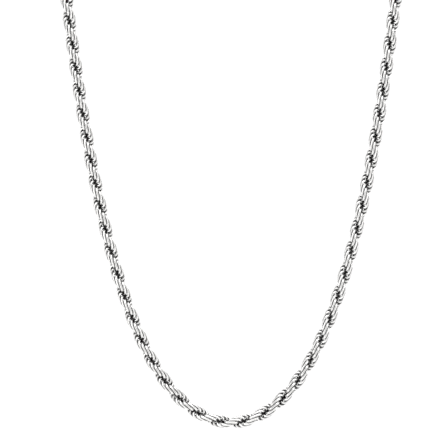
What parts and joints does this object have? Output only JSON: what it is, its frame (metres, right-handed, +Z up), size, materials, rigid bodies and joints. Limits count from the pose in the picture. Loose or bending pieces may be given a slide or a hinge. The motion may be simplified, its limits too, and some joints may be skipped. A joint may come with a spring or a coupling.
{
  "type": "chain necklace",
  "caption": "Polished silver rope chain necklace, hanging in a deep front curve and closed behind the neck by a spring-gate clasp with end caps and rings.",
  "frame": {"origin": "centre of the circle that the rear run makes round the neck, level with that run", "axes": "+Z up, +Y to the back of the neck where the clasp is, +X to the viewer's right when the chain is seen from the front; the drape hangs in the plane y = -20 mm"},
  "size_m": [0.1158, 0.08, 0.1658],
  "materials": {
    "silver": "polished silver",
    "pin_steel": "drawn steel wire and strip"
  },
  "bodies": {
    "neck_run": {"turn_left_17": "silver", "turn_left_16": "silver", "turn_left_15": "silver", "turn_left_14": "silver", "turn_left_13": "silver", "turn_left_12": "silver", "turn_left_11": "silver", "turn_right_11": "silver", "turn_right_12": "silver", "turn_right_13": "silver", "turn_right_14": "silver", "turn_right_15": "silver", "turn_right_16": "silver", "turn_right_17": "silver", "left_end_cap": "silver", "right_end_cap": "silver"},
    "left_1": {"turn_left_10": "silver", "turn_left_9": "silver"},
    "left_2": {"turn_left_8": "silver", "turn_left_7": "silver"},
    "left_3": {"turn_left_6": "silver", "turn_left_5": "silver"},
    "left_4": {"turn_left_4": "silver", "turn_left_3": "silver"},
    "right_1": {"turn_right_10": "silver", "turn_right_9": "silver"},
    "right_2": {"turn_right_8": "silver", "turn_right_7": "silver"},
    "right_3": {"turn_right_6": "silver", "turn_right_5": "silver"},
    "right_4": {"turn_right_4": "silver", "turn_right_3": "silver"},
    "bottom": {"turn_left_2": "silver", "turn_left_1": "silver", "turn_middle_0": "silver", "turn_right_1": "silver", "turn_right_2": "silver"},
    "jump": {"jump_ring": "silver"},
    "clasp": {"clasp_body": "silver", "clasp_rivet": "pin_steel", "clasp_spring": "pin_steel"},
    "trigger": {"clasp_trigger": "silver"},
    "catch_ring": {"end_ring": "silver"}
  },
  "joints": [
    {"name": "left_1_swing", "type": "hinge", "parent": "neck_run", "child": "left_1", "pos_m": [0, -0.02, -0.01986], "axis": [1, 0, 0], "range_deg": [-3, 3]},
    {"name": "left_2_swing", "type": "hinge", "parent": "left_1", "child": "left_2", "pos_m": [0, -0.02, -0.04975], "axis": [1, 0, 0], "range_deg": [-3, 3]},
    {"name": "left_3_swing", "type": "hinge", "parent": "left_2", "child": "left_3", "pos_m": [0, -0.02, -0.07952], "axis": [1, 0, 0], "range_deg": [-3, 3]},
    {"name": "left_4_swing", "type": "hinge", "parent": "left_3", "child": "left_4", "pos_m": [0, -0.02, -0.10892], "axis": [1, 0, 0], "range_deg": [-3, 3]},
    {"name": "right_1_swing", "type": "hinge", "parent": "neck_run", "child": "right_1", "pos_m": [0, -0.02, -0.01986], "axis": [1, 0, 0], "range_deg": [-3, 3]},
    {"name": "right_2_swing", "type": "hinge", "parent": "right_1", "child": "right_2", "pos_m": [0, -0.02, -0.04975], "axis": [1, 0, 0], "range_deg": [-3, 3]},
    {"name": "right_3_swing", "type": "hinge", "parent": "right_2", "child": "right_3", "pos_m": [0, -0.02, -0.07952], "axis": [1, 0, 0], "range_deg": [-3, 3]},
    {"name": "right_4_swing", "type": "hinge", "parent": "right_3", "child": "right_4", "pos_m": [0, -0.02, -0.10892], "axis": [1, 0, 0], "range_deg": [-3, 3]},
    {"name": "bottom_swing", "type": "hinge", "parent": "left_4", "child": "bottom", "pos_m": [0, -0.02, -0.1372], "axis": [1, 0, 0], "range_deg": [-3, 3]},
    {"name": "jump_ring_rock", "type": "hinge", "parent": "neck_run", "child": "jump", "pos_m": [-0.00935, 0.05522, 0], "axis": [1, 0, 0], "range_deg": [-8, 8]},
    {"name": "clasp_rock", "type": "hinge", "parent": "jump", "child": "clasp", "pos_m": [-0.00549, 0.05522, 0], "axis": [1, 0, 0], "range_deg": [-6, 6]},
    {"name": "end_ring_rock", "type": "hinge", "parent": "neck_run", "child": "catch_ring", "pos_m": [0.00935, 0.05522, 0], "axis": [1, 0, 0], "range_deg": [-8, 8]},
    {"name": "trigger_open", "type": "hinge", "parent": "clasp", "child": "trigger", "pos_m": [-0.00166, 0.05522, -0.0013], "axis": [0, -1, 0], "range_deg": [0, 25], "stiffness_Nm_per_rad": 0.003, "springref_deg": -22.92, "deforming": ["clasp_spring"]}
  ],
  "couplings": [
    {"joint": "right_1_swing", "follows": "left_1_swing", "ratio": 1},
    {"joint": "right_2_swing", "follows": "left_2_swing", "ratio": 1},
    {"joint": "right_3_swing", "follows": "left_3_swing", "ratio": 1},
    {"joint": "right_4_swing", "follows": "left_4_swing", "ratio": 1}
  ]
}
